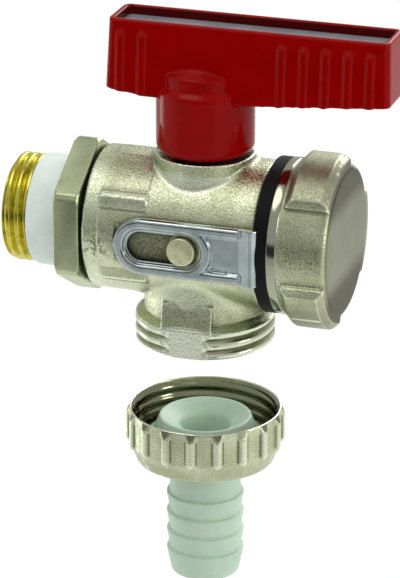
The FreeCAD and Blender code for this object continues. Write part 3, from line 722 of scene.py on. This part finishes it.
# %% Hose tail
LIP_R = 8.45
LIP_WIDTH = 0.45
MOUTH_LEN = 2.0
TAIL_BORE = 4.8
CONE_R = 10.46
FLANGE_R = 11.4
FLANGE_TOP = -42.9
FLANGE_BOTTOM = -43.88
NECK_R = 7.92
NECK_END = -47.7
SHANK_R = 6.95
BARB_FIRST = -55.0
BARB_PITCH = 3.94
BARB_COUNT = 4
BARB_LAND = 0.4
BARB_R = 7.55
BARB_ROOT = 6.9
tail_low, tail_high = node_box("hose_tail")
tail_section = [
    (tail_high.z, LIP_R, 0.22), (tail_high.z, LIP_R + LIP_WIDTH, 0.22), (FLANGE_TOP, CONE_R, 0),
    (FLANGE_TOP, FLANGE_R, 0.2), (FLANGE_BOTTOM, FLANGE_R, 0.2), (FLANGE_BOTTOM, NECK_R, 0),
    (NECK_END, NECK_R, 0.1), (NECK_END - 0.6, SHANK_R, 0.2), (BARB_FIRST, SHANK_R, 0.1)]
for k in range(BARB_COUNT):
    barb = BARB_FIRST - k * BARB_PITCH
    tail_section += [(barb, BARB_R, 0.15), (barb - BARB_LAND, BARB_R, 0.15)]
    if k < BARB_COUNT - 1:
        tail_section.append((barb - BARB_PITCH, BARB_ROOT, 0.1))
tail_section += [
    (tail_low.z, BARB_ROOT - 0.3, 0.4), (tail_low.z, TAIL_BORE, 0.2),
    (tail_high.z - MOUTH_LEN, TAIL_BORE, 0.6)]
place_piece("hose_tail_moulding", turned(tail_section, Z_AXIS), "tail", pale_plastic, ["hose_tail"])

# %% [markdown]
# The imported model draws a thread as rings, which never climb. A Screw modifier could wind one, but its
# ends would still have to be cut and closed, so the same spin as before is used with a drift: each step
# also moves a little along the axis, one pitch a turn. A formula draws the tooth with a broad round crest
# and a narrow groove. The helix is spun longer than needed, cut to length, trimmed to the cone that a
# lathe leaves at its start, and closed by a wall, so that the piece is a solid ring.

# %% How to cut a thread
TOOTH_POINTS = 11
TURN_STEPS = 72


def helix(axis, start, stop, crest, depth, pitch, narrow):
    """A threaded skin between two places on an axis; narrow sets how tight its grooves are."""
    bm = bmesh.new()
    verts = []
    for k in range(TOOTH_POINTS):
        share = k / (TOOTH_POINTS - 1)
        radius = crest - depth * abs(math.cos(math.pi * share)) ** narrow
        verts.append(bm.verts.new(section_point(axis, start - pitch + share * pitch, radius)))
    for first, second in zip(verts, verts[1:]):
        bm.edges.new((first, second))
    turns = math.ceil((stop - start) / pitch) + 1
    bmesh.ops.spin(bm, geom=bm.verts[:] + bm.edges[:], cent=(0, 0, 0), axis=axis,
                   dvec=axis * pitch / TURN_STEPS, angle=math.tau * turns, steps=TURN_STEPS * turns,
                   use_merge=False)
    bmesh.ops.remove_doubles(bm, verts=bm.verts[:], dist=0.002)
    cut_off(bm, axis * start, -axis)
    cut_off(bm, axis * stop, axis)
    return bm


def around(vert, axis):
    """The part of a point that lies across an axis."""
    return vert.co - axis * vert.co.dot(axis)


def trim_to_cone(bm, axis, place, radius, slope):
    """Keeps each point within a cone that opens along the axis from a place."""
    for vert in bm.verts:
        across = around(vert, axis)
        room = radius + slope * abs(vert.co.dot(axis) - place)
        if across.length > room:
            vert.co -= across.normalized() * (across.length - room)


def rim_loop(bm, axis, place):
    """The open edges that lie in the plane at a place on an axis."""
    return [edge for edge in bm.edges if edge.is_boundary
            and all(abs(vert.co.dot(axis) - place) < 0.01 for vert in edge.verts)]


def wall_rim(bm, axis, place, radius, to_place):
    """Extrudes an open rim to a radius at another place, and gives the new rim's edges."""
    made = bmesh.ops.extrude_edge_only(bm, edges=rim_loop(bm, axis, place))["geom"]
    for vert in made:
        if isinstance(vert, bmesh.types.BMVert):
            vert.co = axis * to_place + around(vert, axis).normalized() * radius
    return [edge for edge in made if isinstance(edge, bmesh.types.BMEdge)]


def close_thread(bm, axis, near, far):
    """Closes a helix by a wall; near and far are (end of the helix, the wall's radius, the wall's end)."""
    rims = wall_rim(bm, axis, *near) + wall_rim(bm, axis, *far)
    bmesh.ops.bridge_loops(bm, edges=rims)
    bmesh.ops.remove_doubles(bm, verts=bm.verts[:], dist=0.0005)
    bmesh.ops.recalc_face_normals(bm, faces=bm.faces[:])
    return bm


print("thread of", TURN_STEPS, "steps a turn and", TOOTH_POINTS, "points a tooth")

# %% [markdown]
# The inlet's nipple is bare brass with a pipe thread, and it ends where the white seal begins. Its wall
# is the bore that the water runs through, so both ends are closed straight inwards.

# %% Nipple
NIPPLE_LEN = 4.96
NIPPLE_CREST = 10.4775
NIPPLE_DEPTH = 0.95
NIPPLE_PITCH = 1.814
NIPPLE_BORE = 6.5
nipple_left = node_box("inlet_connector")[0].x
nipple_right = nipple_left + NIPPLE_LEN
nipple = helix(X_AXIS, nipple_left, nipple_right, NIPPLE_CREST, NIPPLE_DEPTH, NIPPLE_PITCH, 5)
trim_to_cone(nipple, X_AXIS, nipple_left, NIPPLE_CREST - 0.7, 1.1)
close_thread(nipple, X_AXIS, (nipple_left, NIPPLE_BORE, nipple_left),
             (nipple_right, NIPPLE_BORE, nipple_right))
place_piece("brass_nipple", nipple, "valve", bare_brass)

# %% [markdown]
# The outlet's thread is cut into the forging, except on two flats that the die left lower than its
# crests. The helix is made whole and closed, and then a plane on each side slices it: the slice is
# filled, which is the flat. It reaches a little way up into the body's copy, so that no gap shows between
# them.

# %% Outlet thread
OUTLET_END = -22.6
OUTLET_LAP = 0.1
OUTLET_CREST = 13.49
OUTLET_PITCH = 2.209
OUTLET_DEPTH = 0.62
OUTLET_SEAT = 10.6
SEAT_SLOPE = 0.4
outlet_top = OUTLET_CUT + OUTLET_LAP
top_seat = OUTLET_SEAT - SEAT_SLOPE * (OUTLET_CUT - OUTLET_END)
outlet = helix(Z_AXIS, OUTLET_END, outlet_top, OUTLET_CREST, OUTLET_DEPTH, OUTLET_PITCH, 4)
trim_to_cone(outlet, Z_AXIS, OUTLET_END, OUTLET_CREST - 1.0, 1.6)
close_thread(outlet, Z_AXIS, (OUTLET_END, OUTLET_SEAT, OUTLET_END), (outlet_top, top_seat, outlet_top))
for side in (-1, 1):
    flat_edges = cut_off(outlet, Y_AXIS * side * OUTLET_FLAT, Y_AXIS * side)
    bmesh.ops.triangle_fill(outlet, edges=flat_edges, use_beauty=True, normal=Y_AXIS * side)
place_piece("outlet_thread", outlet, "valve", forged_body)

# %% [markdown]
# The nut's thread faces inwards, so its wall lies outside it, hidden in the nut's widened bore. It has
# the outlet's pitch, because the two screw together, and it stops short of the rim, where a smooth
# lead-in guides the outlet.

# %% Nut thread
NUT_FLOOR = -43.9
NUT_GROOVE = 0.45
LEAD_IN = 0.7
RIM_EASE = 0.05
nut_top = node_box("union_nut")[1].z
thread_top = nut_top - LEAD_IN
wall_r = NUT_BORE_WIDE + 0.2
nut_thread = helix(Z_AXIS, NUT_FLOOR, thread_top, THREAD_BORE + NUT_GROOVE, NUT_GROOVE, OUTLET_PITCH, 2)
close_thread(nut_thread, Z_AXIS, (NUT_FLOOR, wall_r, NUT_FLOOR), (thread_top, wall_r, nut_top - RIM_EASE))
place_piece("nut_thread", nut_thread, "nut", shaded_nickel)

# %% [markdown]
# The hexagon is machined from bar, so its flats stay flat and its edges stay crisp, and remeshing would
# spoil both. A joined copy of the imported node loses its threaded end, its flat triangles are dissolved
# into whole faces, and a narrow live bevel gives each edge the thin line that catches the light.

# %% Hexagon collar
hex_copy = open_copy("inlet_connector", X_AXIS * nipple_right, -X_AXIS)
bmesh.ops.dissolve_limit(hex_copy, angle_limit=math.radians(1), verts=hex_copy.verts[:],
                         edges=hex_copy.edges[:])
hexagon = place_piece("hexagon_collar", hex_copy, "valve", machined_nickel, ["inlet_connector"])
edge = hexagon.modifiers.new("edge", "BEVEL")
edge.width = 0.16 * MM
edge.segments = 2
edge.limit_method = "ANGLE"
edge.angle_limit = math.radians(25)

# %% [markdown]
# Ball, seats, stem, screw, washer and gasket are hidden, and the rings and the grey strip that are left
# are plain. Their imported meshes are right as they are. A copy would gain nothing, so each node keeps its
# mesh and only takes a finish.

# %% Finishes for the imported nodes
node_finish = {
    "body_seal": black_rubber, "ball": chromed, "inlet_seat": white_seal, "port_seat": white_seal,
    "stem": bare_brass, "stem_washer": white_seal, "stem_o_rings": black_rubber, "handle_plate": grey_strip,
    "handle_screw": steel_strip, "grommet": black_rubber, "cap_gasket": black_rubber,
}
for node, finish in node_finish.items():
    mesh = frame["nodes"][node].data
    mesh.materials.clear()
    mesh.materials.append(finish)
print("finished nodes", len(node_finish))

# %% [markdown]
# The picture is a studio cut-out on white. A white floor right under the object would catch a strong
# shadow, so a pale one lies well below. To the camera it mostly glows white and keeps a small share of
# its own shading, in which the shadow stays. The world is white to the camera too, but dimmer as a light
# and dimmer still in reflections, because bright plating in a white room would show no form at all.

# %% Floor and world
def stage_panel(name, centre, facing, width, height, finish):
    """A flat panel of the stage that faces one way."""
    bm = bmesh.new()
    bmesh.ops.create_grid(bm, x_segments=1, y_segments=1, size=0.5)
    turn = facing.to_track_quat("Z", "Y").to_matrix().to_4x4()
    bm.transform(Matrix.Translation(centre) @ turn @ Matrix.Diagonal((width, height, 1, 1)))
    mesh = bpy.data.meshes.new(name)
    bm.to_mesh(mesh)
    bm.free()
    mesh.materials.append(finish)
    panel = bpy.data.objects.new(name, mesh)
    bpy.context.scene.collection.objects.link(panel)
    return panel


def matt_grey(name, level):
    """A dull grey of one level."""
    finish = Finish(name)
    finish.set(Base_Color=(level, level, level), Roughness=0.9)
    return finish


def floor_white():
    """White to the camera, with the shadow kept in a share of its own shading."""
    finish = matt_grey("floor_white", 0.84)
    glow = finish.node("ShaderNodeEmission", {}, {"Strength": 1.06})
    share = finish.node("ShaderNodeLightPath", {}, {}, "Is Camera Ray") * 0.93
    shaded = Value(finish, finish.shader.outputs[0])
    seen = finish.node("ShaderNodeMixShader", {}, {0: share, 1: shaded, 2: glow})
    finish.put(finish.tree.nodes["Material Output"].inputs["Surface"], seen)
    return finish


FLOOR_DROP = 0.12
FLOOR_SIZE = 12
floor_z = cad_low.z - FLOOR_DROP
floor_centre = Vector((ball_centre.x, 0, floor_z))
stage_panel("floor", floor_centre, Z_AXIS, FLOOR_SIZE, FLOOR_SIZE, floor_white().material)

WORLD_LIGHT = 0.8
WORLD_MIRRORED = 0.5
world = bpy.data.worlds.new("studio")
bpy.context.scene.world = world
world.use_nodes = True
sky = Nodes(world.node_tree)
to_camera = sky.node("ShaderNodeLightPath", {}, {}, "Is Camera Ray")
to_gloss = sky.node("ShaderNodeLightPath", {}, {}, "Is Glossy Ray")
dimmed = WORLD_LIGHT - to_gloss * (WORLD_LIGHT - WORLD_MIRRORED)
background = sky.tree.nodes["Background"]
sky.put(background.inputs["Color"], (1, 1, 1))
sky.put(background.inputs["Strength"], to_camera + (1 - to_camera) * dimmed)
print("floor at", round(floor_z, 3), "world", world.name)

# %% [markdown]
# Metal shows what stands around it, so the lamps are few and soft: one high on the left for the form, one
# behind for the upper rims, and two smaller ones at the sides. Two cards stand in front, out of the
# camera's sight. The grey one below is what upright plating mirrors, and it makes the nickel deeper than
# white would. The black strip above it is what the lever's sloping front mirrors, and it keeps the red
# from turning pink.

# %% Lamps and cards
def direction(azimuth, elevation):
    """The way out from the object, in degrees round from the front and up."""
    a, e = math.radians(azimuth), math.radians(elevation)
    return Vector((math.sin(a) * math.cos(e), -math.cos(a) * math.cos(e), math.sin(e)))


def area_light(name, azimuth, elevation, distance, size, watts):
    """A soft lamp that looks at the ball's centre."""
    way = direction(azimuth, elevation)
    data = bpy.data.lights.new(name, "AREA")
    data.energy = watts
    data.size = size
    lamp = bpy.data.objects.new(name, data)
    lamp.location = ball_centre + way * distance
    lamp.rotation_euler = way.to_track_quat("Z", "Y").to_euler()
    bpy.context.scene.collection.objects.link(lamp)


area_light("key", azimuth=-48, elevation=66, distance=0.6, size=0.3, watts=0.54)
area_light("back", azimuth=172, elevation=28, distance=0.6, size=0.34, watts=1.3)
area_light("left_low", azimuth=-104, elevation=-17, distance=0.45, size=0.14, watts=0.15)
area_light("right", azimuth=84, elevation=12, distance=0.55, size=0.16, watts=0.5)

CARD_Y = -0.4
CARD_LEFT = 0.08
CARD_WIDTH = 0.8
CARD_SPLIT = -0.1
CARD_TOP = 0.03


def reflector_card(name, low, high, finish):
    """An upright card in front of the object that only reflections see."""
    centre = Vector((ball_centre.x - CARD_LEFT, CARD_Y, (low + high) / 2))
    card = stage_panel(name, centre, Y_AXIS, CARD_WIDTH, high - low, finish.material)
    card.visible_camera = False


reflector_card("low_card", floor_z, CARD_SPLIT, matt_grey("card_grey", 0.55))
reflector_card("high_card", CARD_SPLIT, CARD_TOP, matt_grey("card_black", 0.02))
print("lamps", [light.name for light in bpy.data.lights])

# %% [markdown]
# The photograph was taken with a long lens from a little to the right and above. A guess by eye would
# come near, but pieces would then sit a few pixels off, so lens, distance and aim come from fitting the
# known sizes of the inlet's thread and hexagon to it.

# %% Camera
VIEW_AZIMUTH = 18.12
VIEW_ELEVATION = 21.25
VIEW_DISTANCE = 708.7
AIM = Vector((-1.103, 0.0, -13.09))
LENS = 229.8
SENSOR = 36.0
view_way = direction(VIEW_AZIMUTH, VIEW_ELEVATION)
view = bpy.data.cameras.new("view")
view.lens = LENS
view.sensor_width = SENSOR
camera = bpy.data.objects.new("view", view)
camera.location = TO_FRAME @ (AIM + view_way * VIEW_DISTANCE)
camera.rotation_mode = "QUATERNION"
camera.rotation_quaternion = view_way.to_track_quat("Z", "Y")
bpy.context.scene.collection.objects.link(camera)
bpy.context.scene.camera = camera
bpy.context.scene.view_settings.view_transform = "Standard"
print("camera", [round(v, 3) for v in camera.location])
